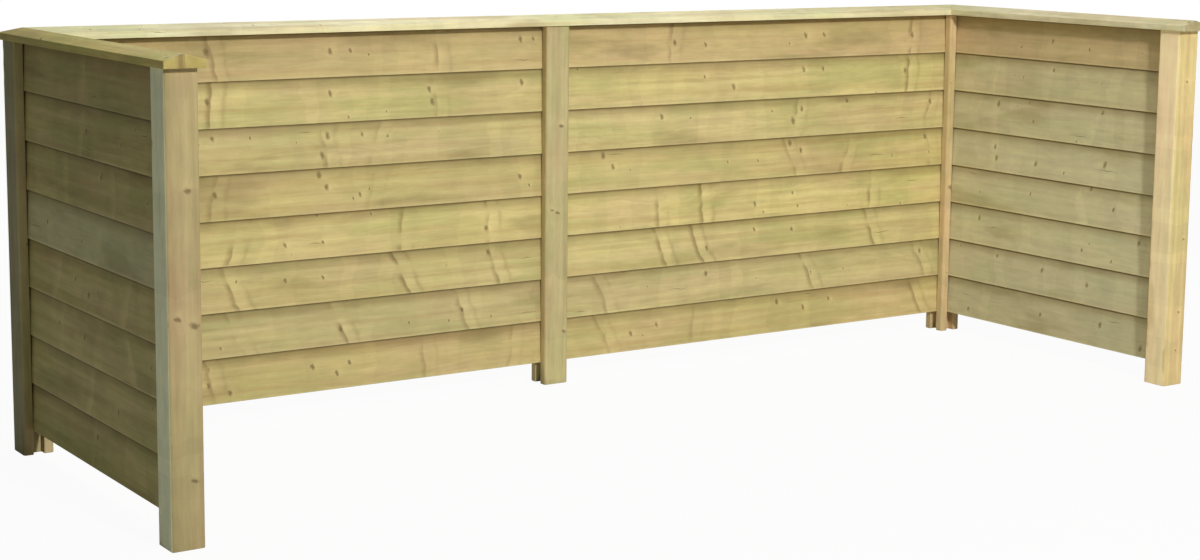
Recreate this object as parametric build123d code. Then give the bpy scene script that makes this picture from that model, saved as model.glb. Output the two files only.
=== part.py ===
from build123d import *
import os

# Recycling bin station: a three-sided timber screen, open at the front, that wheeled bins stand inside.
# Square posts have grooves down their faces, and wedge-section boards drop into them one on another.
# A cap rail with two slopes, in three lengths mitred at the back corners, ties the tops of the posts.
# Millimetres. X runs along the back wall, -Y is the open front and +Z is up.
# The origin is on the ground, at the centre of the overall footprint.

os.makedirs("parts", exist_ok=True)

# Driving dimensions of the bays
back_bay_width = 1690.0        # clear between two posts of the back wall
side_bay_depth = 1010.0        # clear between the front post and the back post of a side wall
boards_per_bay = 8
ground_gap = 72.0              # open space under the lowest board

# Posts
post_side = 90.0
post_arris_radius = 8.0
post_core = 40.0               # solid timber between the floors of two opposite grooves
groove_mouth_chamfer = 1.5

# Boards: both faces slope in towards the top, with a tongue on top and a slot underneath
board_cover = 141.0            # height that one board adds to the wall
board_foot_thickness = 30.0
board_shoulder_thickness = 20.0
board_foot_radius = 2.0
tongue_thickness = 8.0
tongue_height = 9.0
tongue_side_play = 0.5
tongue_top_play = 1.0
board_side_play = 0.5          # between the foot of a board and each wall of the post's groove
board_end_play = 3.0           # between the end of a board and the floor of the post's groove

# Cap rail
cap_width = 110.0
cap_edge_height = 20.0
cap_ridge_height = 36.0
cap_edge_radius = 1.5
cap_front_overhang = 25.0      # beyond the front face of the front posts
mitre_gap = 0.4

# Countersunk wood screws
screw_diameter = 5.0
screw_head_diameter = 10.0
screw_head_height = 3.2
screw_tip_length = 5.0
screw_hole_play = 0.1          # on the radius, in every hole that a screw goes into
screw_hole_mouth = 12.0        # how far a hole is cleared above the head
screw_sink = 1.5               # from the lowest timber at the rim down to the head
post_screw_length = 80.0
post_screw_offset = 25.0       # from the ridge of the cap, down one slope
post_screw_setback = 8.0       # from the middle of the post, away from its groove
board_screw_length = 70.0
board_screws_per_back_bay = 2
board_screws_per_side_bay = 1
end_screw_length = 50.0

# Worked out from the above
groove_width = board_foot_thickness + 2 * board_side_play
groove_depth = (post_side - post_core) / 2
seat_length = groove_depth - board_end_play
post_height = ground_gap + boards_per_bay * board_cover
side_wall_x = back_bay_width + post_side
side_post_spacing = side_bay_depth + post_side
cap_front_reach = post_side / 2 + cap_front_overhang
overall_depth = cap_front_reach + side_post_spacing + cap_width / 2
cap_front_y = -overall_depth / 2
front_post_y = cap_front_y + cap_front_reach
back_wall_y = front_post_y + side_post_spacing


# Posts: a square section with rounded arrises and a full-height groove in each face that holds boards
def post_groove(direction):
    half = groove_width / 2
    mouth = half + groove_mouth_chamfer
    face = post_side / 2
    beyond = face + groove_depth
    profile = Polyline(
        (face - groove_depth, -half),
        (face - groove_mouth_chamfer, -half),
        (face, -mouth),
        (beyond, -mouth),
        (beyond, mouth),
        (face, mouth),
        (face - groove_mouth_chamfer, half),
        (face - groove_depth, half),
        close=True,
    )
    turn = {"+X": 0, "+Y": 90, "-X": 180, "-Y": 270}[direction]
    return Rot(0, 0, turn) * extrude(make_face(profile), post_height)


def post(x, y, groove_directions):
    body = extrude(RectangleRounded(post_side, post_side, post_arris_radius), post_height)
    for direction in groove_directions:
        body -= post_groove(direction)
    return Pos(x, y, 0) * body


# Boards: drawn along +X from the origin with the foot on z = 0
def board(length, has_tongue):
    foot = board_foot_thickness / 2
    shoulder = board_shoulder_thickness / 2
    tongue = tongue_thickness / 2
    slot = tongue + tongue_side_play
    slot_top = tongue_height + tongue_top_play
    tongue_points = [
        (-tongue, board_cover),
        (-tongue, board_cover + tongue_height),
        (tongue, board_cover + tongue_height),
        (tongue, board_cover),
    ]
    section = make_face(
        Polyline(
            (-slot, 0),
            (-foot, 0),
            (-shoulder, board_cover),
            *(tongue_points if has_tongue else []),
            (shoulder, board_cover),
            (foot, 0),
            (slot, 0),
            (slot, slot_top),
            (-slot, slot_top),
            close=True,
        )
    )
    foot_corners = [corner for corner in section.vertices() if abs(corner.X) > shoulder and corner.Y < slot]
    return extrude(Plane.YZ * fillet(foot_corners, board_foot_radius), length)


# Cap rail: drawn along +X from the origin with the underside on z = 0
def cap_rail(length):
    half = cap_width / 2
    section = make_face(
        Polyline(
            (-half, 0),
            (half, 0),
            (half, cap_edge_height),
            (0, cap_ridge_height),
            (-half, cap_edge_height),
            close=True,
        )
    )
    return extrude(Plane.YZ * fillet(section.vertices(), cap_edge_radius), length)


def mitre_waste(side, behind):
    """All that lies behind (or before) the mitre plane of the back corner on this side."""
    size = 4 * cap_width
    align = Align.MIN if behind else Align.MAX
    shift = -mitre_gap / 2 if behind else mitre_gap / 2
    block = Pos(0, shift, 0) * Box(size, size, size, align=(Align.CENTER, align, Align.CENTER))
    return Pos(side * side_wall_x, back_wall_y, post_height) * Rot(0, 0, 45 * side) * block


# Screws: drawn point down with the top of the head at the origin
def screw(length):
    head = screw_head_diameter / 2
    shank = screw_diameter / 2
    outline = Polyline(
        (0, 0),
        (head, 0),
        (shank, -screw_head_height),
        (shank, screw_tip_length - length),
        (0, -length),
        close=True,
    )
    return revolve(Plane.XZ * make_face(outline), Axis.Z)


def screw_hole(length):
    """What a driven screw leaves: its own outline, a little larger, and open above the head."""
    head = screw_head_diameter / 2 + screw_hole_play
    shank = screw_diameter / 2 + screw_hole_play
    outline = Polyline(
        (0, screw_hole_mouth),
        (head, screw_hole_mouth),
        (head, 0),
        (shank, -screw_head_height),
        (shank, -length - screw_hole_play),
        (0, -length - screw_hole_play),
        close=True,
    )
    return revolve(Plane.XZ * make_face(outline), Axis.Z)


def cap_screw_head_z(offset):
    """Height of the head of a screw whose axis is this far from the ridge of the cap."""
    lowest_rim = offset + screw_head_diameter / 2
    fall = (cap_ridge_height - cap_edge_height) * lowest_rim / (cap_width / 2)
    return post_height + cap_ridge_height - fall - screw_sink


# Where each post stands, and which of its faces hold boards
posts = {
    "post_front_left": (-side_wall_x, front_post_y, ["+Y"]),
    "post_back_left": (-side_wall_x, back_wall_y, ["+X", "-Y"]),
    "post_back_middle": (0, back_wall_y, ["+X", "-X"]),
    "post_back_right": (side_wall_x, back_wall_y, ["-X", "-Y"]),
    "post_front_right": (side_wall_x, front_post_y, ["+Y"]),
}

# Each bay: the posts it runs between, its direction, its clear length, the cap over it, how many screws
# go down through that cap, and the side that its end screws are driven from (1 is left of the direction)
back_bay = (0, back_bay_width, "cap_back", board_screws_per_back_bay, 1)
bays = {
    "back_left": ("post_back_left", "post_back_middle", *back_bay),
    "back_right": ("post_back_middle", "post_back_right", *back_bay),
    "left": (
        "post_front_left", "post_back_left", 90, side_bay_depth, "cap_left", board_screws_per_side_bay, -1
    ),
    "right": (
        "post_front_right", "post_back_right", 90, side_bay_depth, "cap_right", board_screws_per_side_bay, -1
    ),
}


def bay_place(bay):
    """The start of a bay's clear length, at ground level, with +X along the bay."""
    first_post, direction = bays[bay][0], bays[bay][2]
    x, y, _ = posts[first_post]
    return Pos(x, y, 0) * Rot(0, 0, direction) * Pos(post_side / 2, 0, 0)


parts = {name: post(x, y, directions) for name, (x, y, directions) in posts.items()}

for bay, (_, _, _, clear_length, _, _, _) in bays.items():
    for row in range(boards_per_bay):
        has_tongue = row < boards_per_bay - 1
        seat = Pos(-seat_length, 0, ground_gap + row * board_cover)
        piece = board(clear_length + 2 * seat_length, has_tongue)
        parts[f"{bay}_board_{row + 1}"] = bay_place(bay) * seat * piece

for name, side in (("cap_left", -1), ("cap_right", 1)):
    rail = Pos(side * side_wall_x, cap_front_y, post_height) * Rot(0, 0, 90) * cap_rail(overall_depth)
    parts[name] = rail - mitre_waste(side, behind=True)
back_rail_length = 2 * side_wall_x + cap_width
back_rail = Pos(-back_rail_length / 2, back_wall_y, post_height) * cap_rail(back_rail_length)
parts["cap_back"] = back_rail - mitre_waste(-1, behind=False) - mitre_waste(1, behind=False)


# Fixings: each screw is placed, and leaves its hole in the pieces that it goes into
def drive(place, length, pieces):
    for piece in pieces:
        parts[piece] -= place * screw_hole(length)
    return place * screw(length)


def cap_post_screw(post_name, cap, dx, dy):
    x, y, _ = posts[post_name]
    place = Pos(x + dx, y + dy, cap_screw_head_z(post_screw_offset))
    return drive(place, post_screw_length, [cap, post_name])


# Two screws go down into each post, clear of its grooves. At a back corner each rail has one of them.
cap_post_screws = []
for side, name in ((-1, "left"), (1, "right")):
    for dx in (-post_screw_offset, post_screw_offset):
        cap_post_screws.append(cap_post_screw(f"post_front_{name}", f"cap_{name}", dx, -post_screw_setback))
    corner_post = f"post_back_{name}"
    outward, inward = side * post_screw_offset, -side * post_screw_setback
    cap_post_screws.append(cap_post_screw(corner_post, f"cap_{name}", outward, -post_screw_setback))
    cap_post_screws.append(cap_post_screw(corner_post, "cap_back", inward, post_screw_offset))
for dy in (-post_screw_offset, post_screw_offset):
    cap_post_screws.append(cap_post_screw("post_back_middle", "cap_back", 0, dy))

# Others go down on the ridge into the top board of each bay, evenly spaced
cap_board_screws = []
for bay, (_, _, _, clear_length, cap, screw_count, _) in bays.items():
    for index in range(screw_count):
        along = clear_length * (index + 1) / (screw_count + 1)
        place = bay_place(bay) * Pos(along, 0, cap_screw_head_z(0))
        cap_board_screws.append(drive(place, board_screw_length, [cap, f"{bay}_board_{boards_per_bay}"]))

# The lowest board of each bay hangs on a screw at each end, driven through the lip of the post's groove
board_end_screws = []
for bay, (first_post, second_post, _, clear_length, _, _, way_in) in bays.items():
    head_y = way_in * (post_side / 2 - screw_sink)
    for post_name, along in ((first_post, -seat_length / 2), (second_post, clear_length + seat_length / 2)):
        height = ground_gap + board_cover / 2
        place = bay_place(bay) * Pos(along, head_y, height) * Rot(-90 * way_in, 0, 0)
        board_end_screws.append(drive(place, end_screw_length, [post_name, f"{bay}_board_1"]))

parts["cap_post_screws"] = Compound(children=cap_post_screws)
parts["cap_board_screws"] = Compound(children=cap_board_screws)
parts["board_end_screws"] = Compound(children=board_end_screws)

for name, shape in parts.items():
    shape.label = name
    export_step(shape, f"parts/{name}.step")
print(f"{len(parts)} nodes, {post_height:.0f} to the top of the posts, {overall_depth:.0f} deep")
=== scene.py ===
import math

import bmesh
import bpy
import numpy as np
from mathutils import Matrix, Vector


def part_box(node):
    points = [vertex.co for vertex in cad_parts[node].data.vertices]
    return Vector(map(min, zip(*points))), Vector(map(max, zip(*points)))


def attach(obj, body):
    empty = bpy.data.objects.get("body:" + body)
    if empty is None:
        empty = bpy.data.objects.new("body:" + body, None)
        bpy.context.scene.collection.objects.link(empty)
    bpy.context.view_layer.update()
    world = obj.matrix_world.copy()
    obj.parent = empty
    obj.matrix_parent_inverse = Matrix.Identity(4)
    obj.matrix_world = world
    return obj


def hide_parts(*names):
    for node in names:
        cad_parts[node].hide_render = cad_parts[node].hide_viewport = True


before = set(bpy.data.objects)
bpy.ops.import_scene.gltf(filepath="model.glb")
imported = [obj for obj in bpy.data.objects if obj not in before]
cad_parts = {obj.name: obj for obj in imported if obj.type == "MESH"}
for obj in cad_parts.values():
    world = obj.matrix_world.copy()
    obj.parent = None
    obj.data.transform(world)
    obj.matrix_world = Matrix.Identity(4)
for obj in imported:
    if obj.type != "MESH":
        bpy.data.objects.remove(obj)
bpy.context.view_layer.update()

# ---------------------------------------------------------------------------------------------------
# Posts. Five square softwood posts, planed on four sides with rounded arrises and pressure-treated
# green. A groove runs the full height of every face that holds boards, cut on a spindle moulder.
# Each stands on its sawn foot, and two screws come down into its head through the cap rail.

POST_ARRIS = 0.008
GROOVE_DEPTH = 0.025
GROOVE_WIDTH = 0.031
GROOVE_MOUTH = 0.0015
FACE_DEPTH = 0.0015   # how deep the tone of one face, with its painted light, reaches
END_SKIN = 0.0002     # how deep the sawn look of an end reaches
CHIP_DEPTH = 0.0012
CHIP_REACH = 0.004    # how far from an arris its chips reach
END_EASE = 0.0012
WANDER = 0.00035      # how far a planed face wanders inwards
CELL = 0.009          # side of the cells that a length of timber is made in
ARC_STEPS = 6
SHARP_ANGLE = 25      # degrees, between faces that meet in a crisp edge


class Wire:
    """The output of a node, which ordinary sums work on."""

    def __init__(self, recipe, socket):
        self.recipe, self.socket = recipe, socket

    def sum(self, operation, *values):
        return self.recipe.node("ShaderNodeMath", {"operation": operation}, dict(enumerate(values)))

    def __add__(self, other):
        return self.sum("ADD", self, other)

    def __sub__(self, other):
        return self.sum("SUBTRACT", self, other)

    def __rsub__(self, other):
        return self.sum("SUBTRACT", other, self)

    def __mul__(self, other):
        return self.sum("MULTIPLY", self, other)

    def __truediv__(self, other):
        return self.sum("DIVIDE", self, other)

    def __pow__(self, other):
        return self.sum("POWER", self, other)

    def __abs__(self):
        return self.sum("ABSOLUTE", self)

    def __lt__(self, other):
        return self.sum("LESS_THAN", self, other)

    def __gt__(self, other):
        return self.sum("GREATER_THAN", self, other)

    __radd__, __rmul__ = __add__, __mul__

    def at_least(self, least):
        return self.sum("MAXIMUM", self, least)

    def at_most(self, most):
        return self.sum("MINIMUM", self, most)

    def fraction(self):
        return self.sum("FRACT", self)


class Recipe:
    """A tree of nodes, built one node at a time."""

    def __init__(self, tree):
        self.tree = tree
        tree.nodes.clear()

    def node(self, kind, settings=None, sockets=None, out=0):
        made = self.tree.nodes.new(kind)
        for key, value in (settings or {}).items():
            setattr(made, key, value)
        for key, value in (sockets or {}).items():
            if isinstance(value, Wire):
                self.tree.links.new(value.socket, made.inputs[key])
            else:
                made.inputs[key].default_value = value
        return Wire(self, made.outputs[out]) if made.outputs else made

    def other(self, wire, out):
        """Another output of the node that a wire comes from."""
        return Wire(self, wire.socket.node.outputs[out])

    def vector(self, x, y, z):
        return self.node("ShaderNodeCombineXYZ", None, {0: x, 1: y, 2: z})

    def split(self, vector):
        first = self.node("ShaderNodeSeparateXYZ", None, {0: vector})
        return first, self.other(first, 1), self.other(first, 2)

    def noise(self, where, scale, detail=2.0, roughness=0.5, out="Fac"):
        sockets = {"Vector": where, "Scale": scale, "Detail": detail, "Roughness": roughness}
        return self.node("ShaderNodeTexNoise", None, sockets, out)

    def noise_along(self, where, scale, detail=2.0, roughness=0.5):
        sockets = {"W": where, "Scale": scale, "Detail": detail, "Roughness": roughness}
        return self.node("ShaderNodeTexNoise", {"noise_dimensions": "1D"}, sockets)

    def rise(self, value, low, high):
        """0 at low and 1 at high, with an easy slope between them. It falls where low is above high."""
        settings = {"interpolation_type": "SMOOTHSTEP"}
        sockets = {"Value": value, "From Min": low, "From Max": high}
        return self.node("ShaderNodeMapRange", settings, sockets)

    def hump(self, value, middle, width):
        """1 at the middle, and falling away to both sides."""
        offset = (value - middle) / width
        return self.node("ShaderNodeMath", {"operation": "EXPONENT"}, {0: offset * offset * -1})

    def mix(self, share, first, second, blend="MIX"):
        settings = {"data_type": "RGBA", "blend_type": blend}
        return self.node("ShaderNodeMix", settings, {0: share, 6: first, 7: second}, 2)


def colour(red, green, blue):
    """A shader colour from an everyday 0 to 255 one."""
    def linear(value):
        value /= 255
        return value / 12.92 if value <= 0.04045 else ((value + 0.055) / 1.055) ** 2.4

    return (linear(red), linear(green), linear(blue), 1)


KNOTS, WHORLS = 5, 3        # the most that one length may have
RINGS_PER_METRE = 260
WHORL_TURN = 0.07           # the height in a board that a leaning whorl turns about
FLAME_WOOD = colour(172, 148, 84)
LATE_WOOD = colour(150, 118, 62)
STREAK_WOOD = colour(172, 140, 88)
STRIPE_WOOD = colour(190, 152, 96)
PALE_GRAIN = colour(238, 218, 152)
BRANCH_GRAIN = colour(130, 100, 46)
PINK_WOOD = colour(216, 168, 132)
GREY_WOOD = colour(172, 178, 158)
DULL_WOOD = colour(150, 134, 84)
KNOT_WOOD = colour(104, 78, 36)
CHECK_WOOD = colour(52, 42, 22)
SAWN_WOOD = colour(132, 102, 52)
# Painted shade and a painted shadow line at the laps, and a pale foot that is partly wear and partly
# painted highlight
LAP_SHADE = colour(120, 96, 46)
LAP_SHADOW_LINE = colour(84, 62, 28)
FOOT_WEAR_AND_HIGHLIGHT = colour(244, 226, 168)


def treated_pine(name, sap, heart, green, swirl, knot_size, strewn_above, lap=None):
    """Planed, pressure-treated pine, from the colours of its sapwood, heartwood and green treatment. It
    follows the attributes that mark() writes on each length. swirl is how much the grain swings about.
    Small knots are strewn where a chance lies above strewn_above. lap is the height where the next board
    covers this one; below it the material paints shade and a shadow line, and it paints a pale foot that is
    partly wear and partly highlight."""
    material = bpy.data.materials.new(name)
    material.use_nodes = True
    made = Recipe(material.node_tree)

    def written(word):
        return made.split(made.node("ShaderNodeAttribute", {"attribute_name": word}, out="Vector"))

    through, across, along = written("grain")
    side = across if lap else through
    log_x, log_y, log_z = written("log")
    pink, grey, lightness_and_painted_light = written("tone_and_painted_light")
    sawn_end = written("sawn_end")[0]

    # Patches of colour and streaks, drawn out along the grain
    place = made.vector(through * 2 + log_x, across * 2 + log_y, along * 0.5 + log_z)
    patch_a, patch_b, patch_c = made.split(made.noise(place, 5.0, 3.0, out="Color"))
    place = made.vector(through + log_y, across + log_x, along * 0.03 + log_z)
    streak = made.noise(place, 130.0, 3.0, 0.6)
    place = made.vector(through + log_z, across + log_y, along * 0.02 + log_x)
    stripe = made.noise(place, 48.0, 2.0, 0.5)
    place = made.vector(through + log_x, across + log_z, along * 0.02)
    fibre = made.noise(place, 900.0, 2.0, 0.7)

    # Whorls: where the branches of one year cross the length, the grain swings round them in a dark band
    # with a pale one beside it. A force below zero leaves only the pale one
    wiggle = (made.noise(made.vector(along * 8, side * 13, log_x), 1.0, 2.0) - 0.5) * 0.04
    broken = made.rise(made.noise(made.vector(along * 6, side * 15, log_z), 1.0, 1.0), 0.32, 0.58)
    dark_band, pale_band = 0, 0
    for number in range(1, WHORLS + 1):
        whorl_along, lean, force = written(f"whorl_{number}")
        from_whorl = along - whorl_along + lean * (side - WHORL_TURN) + wiggle
        swing = made.rise(from_whorl, -0.026, -0.004) * made.rise(from_whorl, 0.001, -0.004)
        swing = made.hump(from_whorl, 0.042, 0.008) * 0.4 + swing
        dark_band = swing * force.at_least(0) * broken + dark_band
        paler = made.rise(from_whorl, -0.002, 0.003) * made.rise(from_whorl, 0.050, 0.012)
        pale_band = paler * abs(force) + pale_band
    pale_band = pale_band * (broken * 0.4 + 0.6)

    def scattered(per_metre_along, start_along, crosswise, per_metre_across, start_across):
        """Marks at random places: how far off the nearest is, both ways, and three chances of its own."""
        cell_x = along * per_metre_along + start_along
        cell_y = crosswise * per_metre_across + start_across
        sockets = {"Vector": made.vector(cell_x, cell_y, 0), "Scale": 1.0}
        nearest = made.node("ShaderNodeTexVoronoi", {"voronoi_dimensions": "2D"}, sockets, "Position")
        mark_x, mark_y, _ = made.split(nearest)
        chances = made.split(made.other(nearest, "Color"))
        return (cell_x - mark_x) / per_metre_along, (cell_y - mark_y) / per_metre_across, chances

    # Knots, each with the pale grain that swells round it: small ones strewn about, and the named ones
    out_of_round = (made.noise(made.vector(side * 140, along * 140, log_x), 1.0, 2.0) - 0.5) * 0.013

    def knot_marks(off_along, off_side, radius):
        """The dark core of a knot, and the pale grain beside it."""
        upright = off_along * 1.2 + off_side * 0.25
        away = (upright * upright + off_side * off_side * 0.6) ** 0.5 + out_of_round
        beside = off_along - radius * 0.9
        halo = made.hump((beside * beside + off_side * off_side) ** 0.5 / radius, 0, 1.7)
        return made.rise(away / radius, 1.15, 0.3), halo

    off_along, off_side, chances = scattered(6, log_z * 7, side, 8, log_y * 5)
    size_chance, chance, _ = chances
    knots, halos = knot_marks(off_along, off_side, (size_chance * 0.5 + 0.3) * knot_size)
    here = chance > strewn_above
    knots, halos = knots * here, halos * here
    for number in range(1, KNOTS + 1):
        knot_along, knot_side, radius = written(f"knot_{number}")
        here = radius > 0.0001
        core, halo = knot_marks(along - knot_along, side - knot_side, radius.at_least(0.001))
        knots, halos = core * here + knots, halo * here + halos

    # Year rings round a pith that wanders along the length, pushed outward by every branch
    place = made.vector(log_x, log_y, along * 1.4 + log_z)
    sway_a, sway_b, _ = made.split(made.noise(place, 1.0, 2.0, out="Color"))
    sockets = {"Vector": made.vector(log_x, log_y, log_z)}
    tree_a, tree_b, _ = made.split(
        made.node("ShaderNodeTexWhiteNoise", {"noise_dimensions": "3D"}, sockets, "Color")
    )
    ring_across = across - tree_a * 0.14 + (sway_a - 0.5) * 0.16 * swirl
    ring_through = through + tree_b * 0.05 + 0.03 + (sway_b - 0.5) * 0.05 * swirl
    push = dark_band * 0.006 - pale_band * 0.004 + halos * 0.005 + (streak - 0.5) * 0.002
    ring = (ring_across * ring_across + ring_through * ring_through) ** 0.5 + push
    year = (ring * RINGS_PER_METRE).fraction()
    late_wood = made.rise(year, 0.45, 0.92) * made.rise(year, 1.0, 0.94)
    flame = made.noise_along(ring * 60 + log_x, 1.0, 2.0, 0.6)

    # Drying checks: short dark cracks along the grain
    off_check, across_check, chances = scattered(2.6, log_x * 9, across, 13, log_z * 4)
    check_chance, _, long_chance = chances
    drift = made.noise_along(along * 30, 1.0, 1.0) - 0.5
    width = made.rise(abs(off_check), 0.02 + long_chance * 0.05, 0.0) * 0.0011
    checks = made.rise(abs(across_check + drift * 0.007), width, width * 0.35) * (check_chance > 0.86)
    checks = checks * (width > 0.0001)

    # Colour, from the broad patches down to the knots, the checks, and the painted shade, shadow line and
    # highlight at the laps
    wood = made.mix(made.rise(patch_a, 0.36, 0.66), colour(*sap), colour(*heart))
    wood = made.mix(made.rise(patch_b, 0.42, 0.68) * 0.8, wood, colour(*green))
    wood = made.mix(made.rise(flame, 0.4, 0.7) * 0.20, wood, FLAME_WOOD)
    wood = made.mix(late_wood * 0.16, wood, LATE_WOOD)
    wood = made.mix(made.rise(streak, 0.5, 0.75) * 0.22, wood, STREAK_WOOD)
    wood = made.mix(made.rise(stripe, 0.48, 0.68) * 0.30, wood, STRIPE_WOOD)
    wood = made.mix(made.rise(stripe, 0.48, 0.32) * 0.30, wood, PALE_GRAIN)
    wood = made.mix((halos * 0.42 + pale_band * 0.34).at_most(0.7), wood, PALE_GRAIN)
    wood = made.mix(dark_band * 0.68, wood, BRANCH_GRAIN)
    wood = made.mix(pink * 0.9, wood, PINK_WOOD)
    wood = made.mix(grey * 0.9, wood, GREY_WOOD)
    wood = made.mix(made.rise(patch_c, 0.55, 0.72) * 0.4, wood, DULL_WOOD)
    wood = made.mix(knots.at_most(1) * 0.66, wood, KNOT_WOOD)
    wood = made.mix(checks * 0.85, wood, CHECK_WOOD)
    wood = made.mix(sawn_end * (late_wood * 0.35 + 0.32), wood, SAWN_WOOD)
    # Painted shade and a painted shadow line under the foot of the next board, and a pale foot that is
    # partly wear and partly painted highlight
    if lap:
        wood = made.mix(made.rise(across, lap - 0.046, lap) * 0.48, wood, LAP_SHADE)
        wood = made.mix(made.rise(across, lap - 0.009, lap - 0.001) * 0.6, wood, LAP_SHADOW_LINE)
        wood = made.mix(made.rise(across, 0.009, 0.002) * 0.25, wood, FOOT_WEAR_AND_HIGHLIGHT)

    # How light it is: the tone of the whole length, whose lightness is partly painted light, its mottle,
    # and steps from one stretch to the next
    mottle = made.noise(made.vector(through * 30 + log_x, across * 42, along * 12 + log_z), 1.0, 4.0, 0.6)
    sockets = {"W": along * 4 + wiggle * 9 + log_x * 3}
    step = made.split(made.node("ShaderNodeTexVoronoi", {"voronoi_dimensions": "1D"}, sockets, "Color"))[0]
    light = lightness_and_painted_light * (fibre * 0.16 + mottle * 0.36 + step * 0.09 + 0.695)
    wood = made.mix(1.0, wood, made.vector(light, light, light), "MULTIPLY")

    relief = fibre * 0.35 + late_wood * 0.3 + knots * 0.6 - checks * 3.0
    bump = made.node("ShaderNodeBump", None, {"Strength": 0.35, "Distance": 0.0006, "Height": relief})
    roughness = 0.62 + fibre * 0.12 - late_wood * 0.08 - knots * 0.15
    surface = made.node("ShaderNodeBsdfPrincipled", None, {
        "Base Color": wood, "Roughness": roughness, "Normal": bump, "Specular IOR Level": 0.3,
    })
    made.node("ShaderNodeOutputMaterial", None, {"Surface": surface})
    return material


def start_tree(name, inputs):
    """An empty Geometry Nodes tree with these inputs, each a name and a kind. Gives its recipe, the
    identifier of each input by its name, and the wires that come from them."""
    tree = bpy.data.node_groups.new(name, "GeometryNodeTree")
    made = Recipe(tree)
    tree.interface.new_socket("Geometry", in_out="OUTPUT", socket_type="NodeSocketGeometry")
    identifiers = {}
    for word, kind in inputs:
        socket = tree.interface.new_socket(word, in_out="INPUT", socket_type="NodeSocket" + kind)
        identifiers[word] = socket.identifier
    first = made.node("NodeGroupInput")
    return made, identifiers, [made.other(first, place) for place in range(len(inputs))]


def moulding_tree():
    """Sweeps an outline along the length of a piece of timber, in cells of one size, and lets the planed
    faces wander inwards by a hair, as real ones do."""
    made, identifiers, wires = start_tree("moulding", (
        ("Outline", "Object"), ("Length", "Float"), ("Cell", "Float"), ("Wander", "Float"),
        ("Chips", "Float"), ("Chip Line", "Float"), ("Seed", "Float"), ("Finish", "Material"),
    ))
    outline, length, cell, wander, chips, chip_line, seed, finish = wires

    outline = made.node("GeometryNodeObjectInfo", None, {"Object": outline}, "Geometry")
    here = made.node("GeometryNodeInputPosition")
    after = made.node("GeometryNodeOffsetPointInCurve", None, {"Offset": 1}, "Point Index")
    settings = {"data_type": "FLOAT_VECTOR"}
    there = made.node("GeometryNodeFieldAtIndex", settings, {"Index": after, "Value": here})
    edge = made.node("ShaderNodeVectorMath", {"operation": "DISTANCE"}, {0: here, 1: there}, "Value")
    outline = made.node("GeometryNodeSubdivideCurve", None, {"Curve": outline, "Cuts": edge / cell})
    line = made.node("GeometryNodeCurvePrimitiveLine", None, {"End": made.vector(0, 0, length)})
    line = made.node("GeometryNodeResampleCurve", None, {"Curve": line, "Count": length / cell + 2})
    lift = made.split(here)[2]
    near_foot = (lift > cell * 0.5) * (lift < cell * 1.5) * (lift * -1 + END_EASE)
    near_head = (lift > length - cell * 1.5) * (lift < length - cell * 0.5) * (length - lift - END_EASE)
    ease = made.vector(0, 0, near_foot + near_head)
    line = made.node("GeometryNodeSetPosition", None, {"Geometry": line, "Offset": ease})
    sockets = {"Curve": line, "Profile Curve": outline, "Fill Caps": True}
    solid = made.node("GeometryNodeCurveToMesh", None, sockets)

    normal = made.node("GeometryNodeInputNormal")
    normal_x, normal_y, _ = made.split(normal)
    x, y, z = made.split(here)
    slow = made.noise(made.vector(x * 9, y * 9, z * 3 + seed), 1.0, 2.0)
    chip = made.noise(made.vector(x * 40 + seed, y * 40, z * 16), 1.0, 2.0)
    on_arris = made.rise(abs(x) + abs(y), chip_line - CHIP_REACH, chip_line)
    at_end = (z < 0.0001) + (z > length - 0.0001)
    depth = slow * wander + made.rise(chip, 0.60, 0.75) * on_arris * chips + at_end * END_EASE
    inwards = made.vector(normal_x * depth * -1, normal_y * depth * -1, 0)
    solid = made.node("GeometryNodeSetPosition", None, {"Geometry": solid, "Offset": inwards})
    solid = made.node("GeometryNodeRealizeInstances", None, {0: solid})
    solid = made.node("GeometryNodeSetMaterial", None, {"Geometry": solid, "Material": finish})
    made.node("NodeGroupOutput", None, {0: solid})
    return made.tree, identifiers


MOULDING = moulding_tree()


def made_by(tree_and_inputs, values, name, start=None):
    """The plain mesh that a Geometry Nodes tree makes from these values, and from a mesh to start with."""
    tree, identifiers = tree_and_inputs
    maker = bpy.data.objects.new(name, start or bpy.data.meshes.new(name))
    bpy.context.scene.collection.objects.link(maker)
    modifier = maker.modifiers.new("maker", "NODES")
    modifier.node_group = tree
    for word, value in values.items():
        modifier[identifiers[word]] = value
    mesh = bpy.data.meshes.new_from_object(maker.evaluated_get(bpy.context.evaluated_depsgraph_get()))
    bpy.data.objects.remove(maker)
    return mesh


def arc(centre, radius, start, end):
    """Points of an arc, with its angles in degrees."""
    for step in range(ARC_STEPS + 1):
        angle = math.radians(start + (end - start) * step / ARC_STEPS)
        yield (centre[0] + radius * math.cos(angle), centre[1] + radius * math.sin(angle))


stock = {}        # what mark() needs to know about each length, by the name of its object


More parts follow.
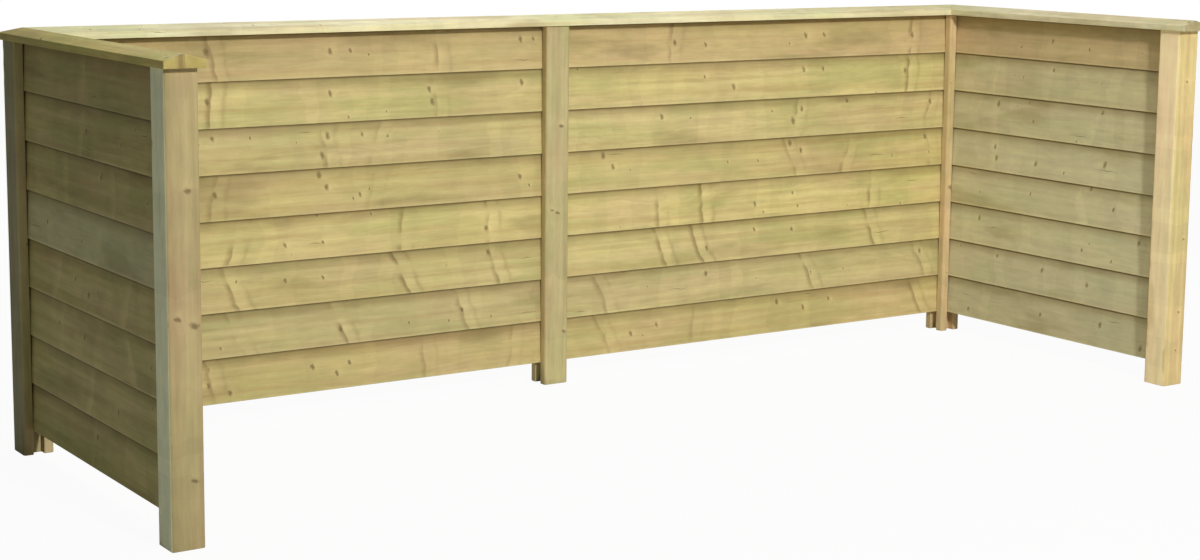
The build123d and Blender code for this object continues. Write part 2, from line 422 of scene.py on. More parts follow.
def timber(
    name, outline, length, place, finish, tone_and_painted_light,
    side_tone_and_painted_light=None, chip_line=1.0, cut=None, knots=(), whorls=(),
):
    """One length of timber, swept from its outline along its own Z and then put in its place. cut is a
    function that cuts the mesh while it is still on the bench."""
    seed = sum(ord(letter) * (order + 3) for order, letter in enumerate(name))
    shape = bpy.data.curves.new("outline", "CURVE")
    line = shape.splines.new("POLY")
    line.points.add(len(outline) - 1)
    line.use_cyclic_u = True
    for point, (x, y) in zip(line.points, outline):
        point.co = (x, y, 0, 1)
    pattern = bpy.data.objects.new("outline", shape)
    bpy.context.scene.collection.objects.link(pattern)
    mesh = made_by(MOULDING, {
        "Outline": pattern, "Length": length, "Cell": CELL, "Wander": WANDER, "Chips": CHIP_DEPTH,
        "Chip Line": chip_line, "Seed": seed * 0.37 % 50, "Finish": finish,
    }, name)
    bpy.data.objects.remove(pattern)
    if cut:
        cut(mesh)
    mesh.transform(place)
    mesh.polygons.foreach_set("use_smooth", [True] * len(mesh.polygons))
    mesh.set_sharp_from_angle(angle=math.radians(SHARP_ANGLE))
    piece = bpy.data.objects.new(name + "_wood", mesh)
    bpy.context.scene.collection.objects.link(piece)
    stock[piece.name] = (place, seed, tone_and_painted_light, side_tone_and_painted_light, knots, whorls)
    mark(piece)
    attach(piece, "root")
    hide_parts(name)
    return piece


def mark(piece):
    """Writes the attributes that the wood follows, from where each point lay while it was on the bench.
    grain is the place in the length: through, across and along. log is where in the tree it was sawn. tone
    is how pink, how grey and how light it is, and its lightness is partly painted light, set per face and
    per wall. sawn_end is 1 on its two ends. Each knot is (along, side, radius) and each whorl (along, lean,
    force)."""
    place, seed, tone_and_painted_light, side_tone_and_painted_light, knots, whorls = stock[piece.name]
    mesh = piece.data
    spots = np.empty(len(mesh.vertices) * 3, np.float32)
    mesh.vertices.foreach_get("co", spots)
    turn = np.array(place.inverted())
    spots = spots.reshape(-1, 3) @ turn[:3, :3].T + turn[:3, 3]
    log = np.array((seed * 0.731 % 13, seed * 0.417 % 17, seed * 0.913 % 19))
    face = spots[:, :1].min() + FACE_DEPTH
    share = np.clip((face - spots[:, :1]) / FACE_DEPTH * 2, 0, 1) if side_tone_and_painted_light else 0
    tones_and_painted_light = np.array(tone_and_painted_light) * (1 - share) + np.array(side_tone_and_painted_light or tone_and_painted_light) * share
    height = spots[:, 2:]
    ends = (height < height.min() + END_SKIN) | (height > height.max() - END_SKIN)
    marks = {"grain": spots, "log": log, "tone_and_painted_light": tones_and_painted_light, "sawn_end": ends}
    for word, given, most in (("knot", knots, KNOTS), ("whorl", whorls, WHORLS)):
        for number in range(most):
            marks[f"{word}_{number + 1}"] = given[number] if number < len(given) else (0, 0, 0)
    for word, values in marks.items():
        values = np.ascontiguousarray(np.broadcast_to(values, spots.shape), np.float32)
        layer = mesh.attributes.get(word) or mesh.attributes.new(word, "FLOAT_VECTOR", "POINT")
        layer.data.foreach_set("vector", values.ravel())


def post_outline(side, grooved):
    """The section of a post, anticlockwise, with a groove in the faces named."""
    half, slot = side / 2, GROOVE_WIDTH / 2
    mouth = slot + GROOVE_MOUTH
    for turn, face in enumerate(("+X", "+Y", "-X", "-Y")):
        points = []
        if face in grooved:
            points = [
                (half, -mouth), (half - GROOVE_MOUTH, -slot), (half - GROOVE_DEPTH, -slot),
                (half - GROOVE_DEPTH, slot), (half - GROOVE_MOUTH, slot), (half, mouth),
            ]
        inner = half - POST_ARRIS
        points += arc((inner, inner), POST_ARRIS, 0, 90)
        angle = turn * math.pi / 2
        for x, y in points:
            yield (x * math.cos(angle) - y * math.sin(angle), x * math.sin(angle) + y * math.cos(angle))


post_pine = treated_pine(
    "post_timber_finish", sap=(222, 206, 142), heart=(220, 192, 140), green=(202, 194, 130),
    swirl=0.25, knot_size=0.006, strewn_above=0.8,
)

# Faces with a groove, the tone of the post, the tone of its face towards -X, and its knots, measured from
# its foot and from its middle. The lightness of both tones is partly painted light, set post by post and
# face by face for how much light falls on each
POSTS = {
    "post_front_left": (
        ["+Y"], (0.2, 0.08, 0.64), (0.0, 0.85, 1.9),
        ((0.175, 0.018, 0.009), (0.565, 0.024, 0.012), (0.585, -0.020, 0.010), (0.9, 0.012, 0.010)),
    ),
    "post_back_left": (["+X", "-Y"], (0.1, 0.2, 0.8), (0.0, 0.45, 0.62), ()),
    "post_back_middle": (
        ["+X", "-X"], (0.0, 0.2, 0.84), (0.2, 0.15, 0.9),
        ((0.175, 0.03, 0.008), (0.58, 0.0, 0.008), (0.59, -0.02, 0.007), (0.87, 0.012, 0.009)),
    ),
    "post_back_right": (["-X", "-Y"], (0.35, 0.1, 1.02), (0.35, 0.1, 1.02), ((0.55, -0.02, 0.012),)),
    "post_front_right": (
        ["+Y"], (0.20, 0.0, 1.18), (0.45, 0.4, 1.75),
        ((0.12, 0.005, 0.004), (0.25, 0.012, 0.006), (0.5, 0.02, 0.005), (1.03, 0.0, 0.006)),
    ),
}
pieces = {}
for name, (grooved, tone_and_painted_light, side_tone_and_painted_light, knots) in POSTS.items():
    low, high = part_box(name)
    side = high.x - low.x
    outline = list(post_outline(side, grooved))
    place = Matrix.Translation(((low.x + high.x) / 2, (low.y + high.y) / 2, low.z))
    pieces[name] = timber(
        name, outline, high.z - low.z, place, post_pine, tone_and_painted_light, side_tone_and_painted_light,
        chip_line=side - POST_ARRIS, knots=knots,
    )

# ---------------------------------------------------------------------------------------------------
# Boards. Eight in each bay, machined from pine to a wedge with a tongue on top and a slot underneath,
# and dropped into the grooves of the posts one on another. The lowest hangs on a screw at each end and
# the top one has no tongue, because the cap rail covers it.

BOARD_COVER = 0.141
BOARD_FOOT = 0.030
BOARD_SHOULDER = 0.020
BOARD_FOOT_RADIUS = 0.002
TONGUE_THICKNESS = 0.008
TONGUE_HEIGHT = 0.009
TONGUE_PLAY = 0.0005
TONGUE_TOP_PLAY = 0.001
BOARDS_PER_BAY = 8


def board_outline(has_tongue):
    """The section of a board, anticlockwise, with its foot on y = 0."""
    foot, shoulder, tongue = BOARD_FOOT / 2, BOARD_SHOULDER / 2, TONGUE_THICKNESS / 2
    slot, slot_top = tongue + TONGUE_PLAY, TONGUE_HEIGHT + TONGUE_TOP_PLAY
    lean = math.degrees(math.atan2(foot - shoulder, BOARD_COVER))
    reach = BOARD_FOOT_RADIUS * math.tan(math.radians((90 - lean) / 2))
    middle = foot - reach
    yield (slot, slot_top)
    yield (-slot, slot_top)
    yield (-slot, 0)
    yield from arc((-middle, BOARD_FOOT_RADIUS), BOARD_FOOT_RADIUS, 270, 180 - lean)
    yield (-shoulder, BOARD_COVER)
    if has_tongue:
        yield (-tongue, BOARD_COVER)
        yield (-tongue, BOARD_COVER + TONGUE_HEIGHT)
        yield (tongue, BOARD_COVER + TONGUE_HEIGHT)
        yield (tongue, BOARD_COVER)
    yield (shoulder, BOARD_COVER)
    yield from arc((middle, BOARD_FOOT_RADIUS), BOARD_FOOT_RADIUS, lean, -90)
    yield (slot, 0)


def laid(low, high, along_x):
    """Where a level length lies that fills this box: its foot on the floor of the box, its own Z along X or
    along Y, and its own Y up. Gives its place and its length."""
    if along_x:
        middle = (low.y + high.y) / 2
        return Matrix(((0, 0, 1, low.x), (1, 0, 0, middle), (0, 1, 0, low.z), (0, 0, 0, 1))), high.x - low.x
    middle = (low.x + high.x) / 2
    return Matrix(((-1, 0, 0, middle), (0, 0, 1, low.y), (0, 1, 0, low.z), (0, 0, 0, 1))), high.y - low.y


board_pine = treated_pine(
    "board_timber_finish", sap=(226, 210, 140), heart=(222, 200, 142), green=(200, 196, 124),
    swirl=1.0, knot_size=0.007, strewn_above=0.72, lap=BOARD_COVER,
)

# The tone of each board, from the lowest up. Its lightness is partly painted light: each wall is lighter or
# darker for the light that reaches it, and the top board is darker, in part as painted shade under the cap
# rail
BACK_TONES_AND_LIGHT = (
    (0.15, 0.02, 0.84), (0.10, 0.16, 0.86), (0.00, 0.08, 0.87), (0.04, 0.02, 0.90),
    (0.06, 0.02, 0.82), (0.02, 0.08, 0.85), (0.04, 0.04, 0.86), (0.30, 0.06, 0.84),
)
LEFT_TONES_AND_LIGHT = (
    (0.00, 0.00, 0.77), (0.00, 0.02, 0.81), (0.00, 0.04, 0.84), (0.00, 0.00, 0.80),
    (0.00, 0.45, 1.02), (0.00, 0.00, 0.77), (0.00, 0.00, 0.74), (0.04, 0.00, 0.64),
)
RIGHT_TONES_AND_LIGHT = (
    (0.15, 0.58, 1.08), (0.12, 0.60, 1.14), (0.15, 0.58, 1.18), (0.18, 0.56, 1.18),
    (0.12, 0.60, 1.18), (0.15, 0.54, 1.14), (0.15, 0.46, 1.10), (0.42, 0.18, 0.94),
)

# The knots and then the whorls of each board, from the lowest up, measured from its left or front end and
# from its foot
BACK_LEFT_MARKS = (
    (((0.52, 0.06, 0.009), (0.59, 0.03, 0.009), (0.87, 0.08, 0.010), (1.00, 0.08, 0.008),
      (0.955, 0.05, 0.009)),
     ((0.53, 0.3, 0.6), (1.27, 0.1, 0.5), (1.60, -0.2, 0.4))),
    (((0.97, 0.05, 0.010), (1.41, 0.07, 0.009)), ((0.61, 0.5, 0.5), (0.965, 0.5, 0.9), (1.41, 0.4, 0.7))),
    (((0.78, 0.08, 0.008), (0.91, 0.08, 0.006), (1.51, 0.11, 0.010)),
     ((0.60, 0.45, 0.9), (1.19, 0.5, 1.0), (1.53, 0.4, 0.8))),
    (((0.78, 0.05, 0.008), (0.91, 0.05, 0.006), (1.50, 0.05, 0.010)),
     ((0.61, -0.2, 0.8), (1.19, -0.1, 0.7), (1.51, 0.1, 0.9))),
    (((0.55, 0.08, 0.011), (0.90, 0.12, 0.012), (0.925, 0.08, 0.010), (1.04, 0.05, 0.008),
      (1.63, 0.07, 0.010)),
     ((0.55, -0.2, 0.6), (1.09, -0.3, 0.4))),
    (((0.545, 0.11, 0.009), (0.93, 0.10, 0.011), (0.91, 0.04, 0.011), (1.05, 0.10, 0.008),
      (1.14, 0.09, 0.006)),
     ((0.92, 0.2, 0.6), (1.10, -0.3, 0.3))),
    (((0.53, 0.08, 0.011), (0.94, 0.09, 0.010), (1.29, 0.09, 0.009), (1.30, 0.05, 0.010),
      (1.635, 0.10, 0.010)),
     ((0.54, -0.1, 0.9), (1.31, 0.1, 0.5))),
    (((0.53, 0.09, 0.014), (0.94, 0.08, 0.010), (1.01, 0.08, 0.008), (1.63, 0.10, 0.010),
      (1.68, 0.10, 0.007)),
     ((0.55, 0.2, 0.9), (1.32, 0.1, 0.8))),
)
BACK_RIGHT_MARKS = (
    (((0.30, 0.06, 0.009), (0.41, 0.08, 0.009), (0.94, 0.11, 0.011), (1.06, 0.08, 0.010),
      (1.18, 0.10, 0.008)),
     ((0.19, 0.5, 0.5), (0.57, -0.2, 0.4), (1.60, 0.5, 0.8))),
    (((0.62, 0.10, 0.010), (1.62, 0.10, 0.010)), ((0.18, 0.5, 0.7), (1.08, 0.5, 0.9), (1.62, 0.5, 0.6))),
    (((0.83, 0.10, 0.008), (1.00, 0.09, 0.008), (0.62, 0.05, 0.009)),
     ((0.425, 0.4, 0.9), (0.58, 0.5, 0.9), (1.37, 0.4, 0.9))),
    (((0.83, 0.05, 0.009), (1.00, 0.08, 0.007)), ((0.415, 0.0, 0.7), (0.60, 0.1, 0.9), (1.37, -0.1, 0.8))),
    (((0.18, 0.12, 0.012), (0.22, 0.08, 0.010), (0.985, 0.12, 0.012), (1.035, 0.09, 0.010),
      (1.63, 0.11, 0.010)),
     ((0.99, 0.5, 0.5), (1.25, -0.3, 0.6), (1.65, 0.1, 0.4))),
    (((0.42, 0.10, 0.010), (1.035, 0.10, 0.010), (0.995, 0.06, 0.013), (1.245, 0.12, 0.009),
      (1.65, 0.10, 0.010)),
     ((1.01, -0.3, 0.6), (1.64, -0.2, 0.5))),
    (((0.60, 0.09, 0.007), (0.725, 0.05, 0.011), (1.04, 0.10, 0.010), (1.13, 0.10, 0.008),
      (1.52, 0.08, 0.010)),
     ((0.72, -0.4, 0.3), (1.54, -0.1, 0.9))),
    (((0.47, 0.07, 0.010), (0.60, 0.06, 0.008), (1.045, 0.08, 0.011), (1.13, 0.08, 0.009),
      (1.55, 0.07, 0.011)),
     ((0.46, -0.1, 0.8), (1.55, -0.1, 1.0))),
)
LEFT_MARKS = (
    (((0.52, 0.09, 0.010),), ((0.53, 0.2, -1.4),)),
    (((0.36, 0.05, 0.008),), ((0.54, 0.3, -1.6),)),
    (((0.60, 0.07, 0.009),), ((0.25, -0.6, -1.4), (0.76, 0.1, -1.0))),
    (((0.56, 0.05, 0.010), (0.66, 0.08, 0.008)), ((0.27, 0.4, -1.6), (0.78, 0.4, -1.2))),
    (((0.87, 0.07, 0.008),), ((0.46, 0.3, -1.0),)),
    (((0.45, 0.10, 0.010), (0.13, 0.07, 0.006)), ((0.35, 0.0, -1.2), (0.70, 0.0, -0.8))),
    (((0.55, 0.07, 0.008), (0.30, 0.06, 0.006)), ((0.57, 0.2, -1.2),)),
    ((), ((0.55, 0.1, -1.2),)),
)
RIGHT_MARKS = (
    (((0.07, 0.03, 0.011), (0.26, 0.08, 0.010), (0.55, 0.07, 0.008), (0.92, 0.03, 0.008)),
     ((0.42, 0.1, -0.4),)),
    (((0.33, 0.07, 0.010), (0.55, 0.09, 0.009), (0.78, 0.11, 0.008)), ((0.56, 0.2, -0.5),)),
    (((0.10, 0.11, 0.010), (0.22, 0.03, 0.006), (0.36, 0.05, 0.007), (0.88, 0.10, 0.009)),
     ((0.36, 0.1, -0.4),)),
    (((0.33, 0.13, 0.009), (0.22, 0.07, 0.008)), ((0.36, -0.4, -1.8), (0.12, 0.1, -0.8))),
    (((0.27, 0.08, 0.012), (0.80, 0.05, 0.011), (0.81, 0.09, 0.009), (0.60, 0.05, 0.009)),
     ((0.29, 0.2, -1.5), (0.80, 0.1, -1.4))),
    (((0.80, 0.11, 0.011), (0.29, 0.12, 0.008), (0.62, 0.06, 0.006)),
     ((0.80, 0.1, -1.5), (0.32, 0.3, -1.2))),
    (((0.53, 0.11, 0.007), (0.30, 0.08, 0.005)), ((0.81, 0.1, -1.2), (0.53, 0.2, -0.8))),
    (((0.54, 0.07, 0.008),), ((0.82, 0.0, -0.3),)),
)

# The tones and the marks of each wall, and how much lighter it is than its tones say, a painted lift that
# stands in for more light on the back right bay
WALLS = {
    "back_left": (BACK_TONES_AND_LIGHT, BACK_LEFT_MARKS, 1), "back_right": (BACK_TONES_AND_LIGHT, BACK_RIGHT_MARKS, 1.07),
    "left": (LEFT_TONES_AND_LIGHT, LEFT_MARKS, 1), "right": (RIGHT_TONES_AND_LIGHT, RIGHT_MARKS, 1),
}
for wall, (tones_and_painted_light, marks, lift) in WALLS.items():
    for row in range(BOARDS_PER_BAY):
        name = f"{wall}_board_{row + 1}"
        place, length = laid(*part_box(name), along_x=wall.startswith("back"))
        outline = list(board_outline(row < BOARDS_PER_BAY - 1))
        knots, whorls = marks[row]
        pink, grey, lightness_and_painted_light = tones_and_painted_light[row]
        pieces[name] = timber(
            name, outline, length, place, board_pine, (pink, grey, lightness_and_painted_light * lift),
            knots=knots, whorls=whorls,
        )

# ---------------------------------------------------------------------------------------------------
# Cap rail. Three lengths of pine with two slopes that shed the rain, planed and treated like the rest.
# They are mitred at the back corners, square-cut at the front, and screwed down from above.

CAP_WIDTH = 0.110
CAP_EDGE = 0.020
CAP_RIDGE = 0.036
CAP_ARRIS = 0.0015
MITRE_GAP = 0.0004
MITRE_WASTE = 0.02    # spare length that the mitre cuts off


def cap_outline():
    """The section of the cap rail, anticlockwise, with its underside on y = 0."""
    half = CAP_WIDTH / 2
    slope = math.degrees(math.atan2(CAP_RIDGE - CAP_EDGE, half))
    side = CAP_EDGE - CAP_ARRIS * math.tan(math.radians((90 - slope) / 2))
    yield from arc((half - CAP_ARRIS, CAP_ARRIS), CAP_ARRIS, -90, 0)
    yield from arc((half - CAP_ARRIS, side), CAP_ARRIS, 0, 90 - slope)
    top = CAP_RIDGE - CAP_ARRIS / math.cos(math.radians(slope))
    yield from arc((0, top), CAP_ARRIS, 90 - slope, 90 + slope)
    yield from arc((CAP_ARRIS - half, side), CAP_ARRIS, 90 + slope, 180)
    yield from arc((CAP_ARRIS - half, CAP_ARRIS), CAP_ARRIS, 180, 270)


def mitre(*cuts):
    """A cut through a point, keeping what lies behind its direction, for each pair given."""
    def cut(mesh):
        bench = bmesh.new()
        bench.from_mesh(mesh)
        for point, direction in cuts:
            everything = bench.verts[:] + bench.edges[:] + bench.faces[:]
            bmesh.ops.bisect_plane(
                bench, geom=everything, plane_co=point, plane_no=direction, clear_outer=True, dist=1e-6
            )
            edge = [line for line in bench.edges if line.is_boundary]
            bmesh.ops.edgeloop_fill(bench, edges=edge)
        bmesh.ops.recalc_face_normals(bench, faces=bench.faces[:])
        bench.to_mesh(mesh)
        bench.free()

    return cut


cap_pine = treated_pine(
    "cap_timber_finish", sap=(240, 234, 196), heart=(232, 220, 176), green=(218, 220, 168),
    swirl=0.5, knot_size=0.008, strewn_above=0.8,
)
# A darker, yellower copy of the cap finish for the rail on the shaded left side: painted shade
shaded_cap_pine = treated_pine(
    "shaded_cap_timber_finish", sap=(222, 206, 122), heart=(214, 194, 122), green=(190, 186, 104),
    swirl=0.5, knot_size=0.008, strewn_above=0.8,
)

# The timber, the tone and the knots of the rails on the side walls
SIDE_RAILS = {
    "cap_left": (-1, shaded_cap_pine, (0.0, 0.0, 0.95), ((0.004, 0.008, 0.012), (0.03, 0.035, 0.008))),
    "cap_right": (1, cap_pine, (0.1, 0.05, 1.0), ((0.012, 0.02, 0.009), (0.2, -0.03, 0.007))),
}
half_gap = MITRE_GAP / 2 * math.sqrt(2)
for name, (side, finish, tone_and_painted_light, knots) in SIDE_RAILS.items():
    low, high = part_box(name)
    place, length = laid(low, high, along_x=False)
    corner = (0, 0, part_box("cap_back")[1].y - CAP_WIDTH / 2 - low.y - half_gap)
    pieces[name] = timber(
        name, list(cap_outline()), length + MITRE_WASTE, place, finish, tone_and_painted_light,
        cut=mitre((corner, (side, 0, 1))), knots=knots,
    )
place, length = laid(*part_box("cap_back"), along_x=True)
inset = CAP_WIDTH / 2 + half_gap
pieces["cap_back"] = timber(
    "cap_back", list(cap_outline()), length, place, cap_pine, (0.0, 0.05, 1.07),
    cut=mitre(((0, 0, inset), (-1, 0, -1)), ((0, 0, length - inset), (-1, 0, 1))),
)

# ---------------------------------------------------------------------------------------------------
# Screws. Countersunk wood screws of passivated steel with a cross recess. Two go down through the cap
# into each post, others along its ridge into the top boards, and the lowest board of each bay has one
# at each end, through the lip of the groove. Each is driven just below the face and leaves its own hole.

SCREW_HEAD = 0.005
SCREW_SHANK = 0.0025
SCREW_ROOT = 0.0017
SCREW_HEAD_HEIGHT = 0.0032
SCREW_TIP = 0.005
SCREW_POINT = 0.0001
SCREW_SINK = 0.0015
SCREW_SIDES = 20
THREAD_PITCH = 0.0024
STEPS_PER_TURN = 14
RECESS_WIDTH = 0.0009
RECESS_LENGTH = 0.0048
RECESS_DEPTH = 0.0018
HOLE_PLAY = 0.0001
HOLE_MOUTH = 0.012
POST_SCREW, POST_SCREW_OFFSET, POST_SCREW_SETBACK = 0.080, 0.025, 0.008
BOARD_SCREW, END_SCREW = 0.070, 0.050


def screw_steel():
    """Bright zinc with a yellow stain."""
    material = bpy.data.materials.new("screw_steel_finish")
    material.use_nodes = True
    made = Recipe(material.node_tree)
    place = made.node("ShaderNodeTexCoord", out="Object")
    stain = made.noise(place, 900.0, 3.0)
    tint = made.mix(made.rise(stain, 0.4, 0.7), colour(196, 178, 120), colour(150, 150, 142))
    surface = made.node("ShaderNodeBsdfPrincipled", None, {
        "Base Color": tint, "Roughness": stain * 0.35 + 0.28, "Metallic": 1.0,
    })
    made.node("ShaderNodeOutputMaterial", None, {"Surface": surface})
    return material


def screw_tree():
    """A screw on every point of the mesh that it starts from, with its head along the attribute way_out."""
    made, identifiers, wires = start_tree("screw", (
        ("Places", "Geometry"), ("Length", "Float"), ("Head", "Float"), ("Head Height", "Float"),
        ("Shank", "Float"), ("Root", "Float"), ("Tip", "Float"), ("Pitch", "Float"), ("Finish", "Material"),
    ))
    places, length, head, head_height, shank, root, tip, pitch, finish = wires

    def at(geometry, height):
        offset = made.vector(0, 0, height)
        return made.node("GeometryNodeTransform", None, {"Geometry": geometry, "Translation": offset})

    def cone(top, bottom, depth, height):
        sockets = {"Vertices": SCREW_SIDES, "Radius Top": top, "Radius Bottom": bottom, "Depth": depth}
        return at(made.node("GeometryNodeMeshCone", None, sockets), height)

    top = cone(head, root, head_height, head_height * -1)
    for size in ((RECESS_WIDTH, RECESS_LENGTH), (RECESS_LENGTH, RECESS_WIDTH)):
        bar = made.node("GeometryNodeMeshCube", None, {"Size": (*size, RECESS_DEPTH * 2)})
        sockets = {"Mesh 1": top, "Mesh 2": bar}
        top = made.node("GeometryNodeMeshBoolean", {"operation": "DIFFERENCE"}, sockets)
    body = length - head_height - tip
    core = cone(root, root, body, tip - length)
    point = cone(root, SCREW_POINT, tip, length * -1)
    ridge = (shank - root) * 0.5
    turns = made.node("GeometryNodeCurveSpiral", None, {
        "Resolution": STEPS_PER_TURN, "Rotations": body / pitch, "Height": body - ridge * 2,
        "Start Radius": shank - ridge, "End Radius": shank - ridge,
    })
    section = made.node("GeometryNodeCurvePrimitiveCircle", None, {"Resolution": 4, "Radius": ridge})
    sockets = {"Curve": turns, "Profile Curve": section, "Fill Caps": True}
    thread = at(made.node("GeometryNodeCurveToMesh", None, sockets), tip - length + ridge)
    whole = made.node("GeometryNodeJoinGeometry")
    for piece in (top, core, point, thread):
        made.tree.links.new(piece.socket, whole.socket.node.inputs[0])
    settings = {"data_type": "FLOAT_VECTOR"}
    way_out = made.node("GeometryNodeInputNamedAttribute", settings, {"Name": "way_out"})
    turn = made.node("FunctionNodeAlignRotationToVector", {"axis": "Z"}, {"Vector": way_out})
    sockets = {"Points": places, "Instance": whole, "Rotation": turn}
    driven = made.node("GeometryNodeInstanceOnPoints", None, sockets)
    driven = made.node("GeometryNodeRealizeInstances", None, {0: driven})
    driven = made.node("GeometryNodeSetMaterial", None, {"Geometry": driven, "Material": finish})
    made.node("NodeGroupOutput", None, {0: driven})
    return made.tree, identifiers


def drill(piece, place, way_out, length):
    """Cuts the hole that a driven screw leaves: its own outline with a little play, open above the head."""
    head, shank = SCREW_HEAD + HOLE_PLAY, SCREW_SHANK + HOLE_PLAY
    outline = ((head, HOLE_MOUTH), (head, 0), (shank, -SCREW_HEAD_HEIGHT), (shank, -length - HOLE_PLAY))
    angles = [step * 2 * math.pi / SCREW_SIDES for step in range(SCREW_SIDES)]
    bit = bmesh.new()
    rings = [
        [bit.verts.new((radius * math.cos(angle), radius * math.sin(angle), height)) for angle in angles]
        for radius, height in outline
    ]
    bit.faces.new(rings[0])
    bit.faces.new(rings[-1][::-1])
    for upper, lower in zip(rings, rings[1:]):
        for step in range(SCREW_SIDES):
            follow = (step + 1) % SCREW_SIDES
            bit.faces.new((upper[step], lower[step], lower[follow], upper[follow]))
    bmesh.ops.recalc_face_normals(bit, faces=bit.faces[:])
    turn = Vector(way_out).to_track_quat("Z", "Y").to_matrix().to_4x4()
    bit.transform(Matrix.Translation(place) @ turn)
    shape = bpy.data.meshes.new("bit")
    bit.to_mesh(shape)
    bit.free()
    tool = bpy.data.objects.new("bit", shape)
    bpy.context.scene.collection.objects.link(tool)
    modifier = piece.modifiers.new("drill", "BOOLEAN")
    modifier.operation, modifier.object, modifier.solver = "DIFFERENCE", tool, "EXACT"
    bored = bpy.data.meshes.new_from_object(piece.evaluated_get(bpy.context.evaluated_depsgraph_get()))
    piece.modifiers.remove(modifier)
    piece.data = bored
    bpy.data.objects.remove(tool)


SCREW = screw_tree()
steel = screw_steel()


def drive(name, length, screws):
    """Drives screws, each a place, the way its head looks and the pieces that it goes into."""
    bored = set()
    for place, way_out, into in screws:
        for piece in into:
            drill(pieces[piece], place, way_out, length)
            bored.add(piece)
    for piece in sorted(bored):
        mark(pieces[piece])
    points = bpy.data.meshes.new(name)
    points.from_pydata([place for place, _, _ in screws], [], [])
    ways = [number for _, way_out, _ in screws for number in way_out]
    points.attributes.new("way_out", "FLOAT_VECTOR", "POINT").data.foreach_set("vector", ways)
    mesh = made_by(SCREW, {
        "Length": length, "Head": SCREW_HEAD, "Head Height": SCREW_HEAD_HEIGHT, "Shank": SCREW_SHANK,
        "Root": SCREW_ROOT, "Tip": SCREW_TIP, "Pitch": THREAD_PITCH, "Finish": steel,
    }, name, points)
    piece = bpy.data.objects.new(name + "_driven", mesh)
    bpy.context.scene.collection.objects.link(piece)
    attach(piece, "root")
    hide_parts(name)


def cap_head(offset):
    """Height of the head of a cap screw whose axis is this far from the ridge."""
    slope = (CAP_RIDGE - CAP_EDGE) / (CAP_WIDTH / 2)
    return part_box("cap_back")[0].z + CAP_RIDGE - slope * (offset + SCREW_HEAD) - SCREW_SINK


def post_place(name):
    """The middle of a post, seen from above."""
    low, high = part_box(name)
    return (low.x + high.x) / 2, (low.y + high.y) / 2


UP = (0, 0, 1)
into_posts, into_boards, into_ends = [], [], []
for side, word in ((-1, "left"), (1, "right")):
    x, y = post_place(f"post_front_{word}")
    for across in (-POST_SCREW_OFFSET, POST_SCREW_OFFSET):
        spot = (x + across, y - POST_SCREW_SETBACK, cap_head(POST_SCREW_OFFSET))
        into_posts.append((spot, UP, (f"cap_{word}", f"post_front_{word}")))
    x, y = post_place(f"post_back_{word}")
    spot = (x + side * POST_SCREW_OFFSET, y - POST_SCREW_SETBACK, cap_head(POST_SCREW_OFFSET))
    into_posts.append((spot, UP, (f"cap_{word}", f"post_back_{word}")))
    spot = (x - side * POST_SCREW_SETBACK, y + POST_SCREW_OFFSET, cap_head(POST_SCREW_OFFSET))
    into_posts.append((spot, UP, ("cap_back", f"post_back_{word}")))
x, y = post_place("post_back_middle")
for back in (-POST_SCREW_OFFSET, POST_SCREW_OFFSET):
    into_posts.append(((x, y + back, cap_head(POST_SCREW_OFFSET)), UP, ("cap_back", "post_back_middle")))

# The first and last post of each bay, the cap over it, its cap screws and the way its end screws look
BAYS = {
    "back_left": ("post_back_left", "post_back_middle", "cap_back", 2, (0, 1, 0)),
    "back_right": ("post_back_middle", "post_back_right", "cap_back", 2, (0, 1, 0)),
    "left": ("post_front_left", "post_back_left", "cap_left", 1, (1, 0, 0)),
    "right": ("post_front_right", "post_back_right", "cap_right", 1, (1, 0, 0)),
}
for bay, (first_post, last_post, cap, count, way_out) in BAYS.items():
    start, end = Vector(post_place(first_post)), Vector(post_place(last_post))
    along = (end - start).normalized()
    low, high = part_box(first_post)
    half = (high.x - low.x) / 2
    start, end = start + along * half, end - along * half
    for index in range(count):
        spot = start.lerp(end, (index + 1) / (count + 1))
        into_boards.append(((*spot, cap_head(0)), UP, (cap, f"{bay}_board_{BOARDS_PER_BAY}")))
    lowest = f"{bay}_board_1"
    low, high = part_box(lowest)
    in_grooves = (high - low).xy.dot(along) - (end - start).length
    inset = along * in_grooves / 4
    out = Vector(way_out) * (half - SCREW_SINK)
    for post, spot in ((first_post, start - inset), (last_post, end + inset)):
        into_ends.append((Vector((*spot, low.z + BOARD_COVER / 2)) + out, way_out, (post, lowest)))
drive("cap_post_screws", POST_SCREW, into_posts)
drive("cap_board_screws", BOARD_SCREW, into_boards)
drive("board_end_screws", END_SCREW, into_ends)

# ---------------------------------------------------------------------------------------------------
# Studio. A pale floor that fades into a white room, a key light well in front of the open side, a faint
# fill, a soft light overhead and one behind, and the camera, which stands in front of the left wall and
# looks in over it.

FLOOR_SIZE = 40.0
CAMERA_PLACE = (-3.805, -5.444, 1.609)
CAMERA_TURN = (33.717, 8.144, 0.578)        # degrees that it is turned right, tipped down and rolled
bpy.ops.mesh.primitive_plane_add(size=FLOOR_SIZE)
floor = bpy.context.object
floor.name = "floor"
floor_paint = bpy.data.materials.new("floor_paint")
floor_paint.use_nodes = True
paint = Recipe(floor_paint.node_tree)
seen = paint.node("ShaderNodeLightPath", out="Is Camera Ray")
matt = paint.node("ShaderNodeBsdfDiffuse", None, {"Color": (0.62, 0.62, 0.61, 1)})
glow = paint.node("ShaderNodeEmission", None, {"Color": (1, 1, 1, 1), "Strength": 1.0})
lifted = paint.node("ShaderNodeMixShader", None, {0: seen * 0.95, 1: matt, 2: glow})
paint.node("ShaderNodeOutputMaterial", None, {"Surface": lifted})
floor.data.materials.append(floor_paint)

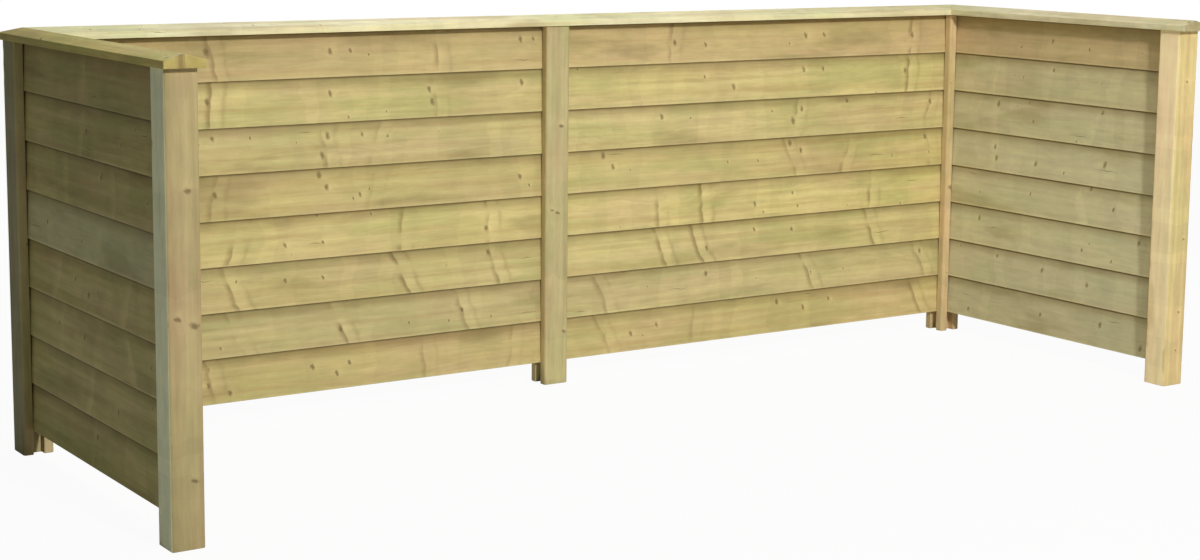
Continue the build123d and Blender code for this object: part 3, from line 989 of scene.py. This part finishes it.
room = bpy.data.worlds.new("room")
bpy.context.scene.world = room
room.use_nodes = True
sky = Recipe(room.node_tree)
seen = sky.node("ShaderNodeLightPath", out="Is Camera Ray")
strength = seen * 0.86 + 0.15
tint = sky.mix(seen, (0.93, 1, 0.88, 1), (1, 1, 1, 1))
air = sky.node("ShaderNodeBackground", None, {"Color": tint, "Strength": strength})
sky.node("ShaderNodeOutputWorld", None, {"Surface": air})


def softbox(name, place, aim, size, power, tint=(1, 1, 1)):
    """A round soft light that looks from its place at its aim."""
    lamp = bpy.data.lights.new(name, "AREA")
    lamp.shape, lamp.size, lamp.energy, lamp.color = "DISK", size, power, tint
    stand = bpy.data.objects.new(name, lamp)
    stand.location = place
    stand.rotation_mode = "QUATERNION"
    stand.rotation_quaternion = (Vector(aim) - Vector(place)).to_track_quat("-Z", "Y")
    bpy.context.scene.collection.objects.link(stand)


softbox("key", (-0.9, -7.4, 4.4), aim=(0.3, 0.3, 0.6), size=0.7, power=470, tint=(1, 0.995, 0.975))
softbox("fill", (-1.2, -3.4, 2.4), aim=(1.2, 0.3, 0.6), size=1.0, power=8)
softbox("overhead", (0.2, -0.6, 4.2), aim=(0.2, 0.0, 0.5), size=2.6, power=44)
softbox("behind", (2.4, 6.5, 3.6), aim=(0.4, 0.6, 0.5), size=2.4, power=230)

lens = bpy.data.cameras.new("camera")
lens.sensor_width, lens.lens, lens.shift_y = 36, 64.47, -0.06
lens.clip_start, lens.clip_end = 0.1, 100
camera = bpy.data.objects.new("camera", lens)
yaw, pitch, roll = (math.radians(angle) for angle in CAMERA_TURN)
forward = Vector((math.sin(yaw) * math.cos(pitch), math.cos(yaw) * math.cos(pitch), -math.sin(pitch)))
level = Vector((math.cos(yaw), -math.sin(yaw), 0))
upright = level.cross(forward)
right = level * math.cos(roll) + upright * math.sin(roll)
up = upright * math.cos(roll) - level * math.sin(roll)
turned = Matrix((right, up, -forward)).transposed().to_4x4()
camera.matrix_world = Matrix.Translation(CAMERA_PLACE) @ turned
bpy.context.scene.collection.objects.link(camera)
bpy.context.scene.camera = camera
bpy.context.scene.view_settings.view_transform = "Standard"
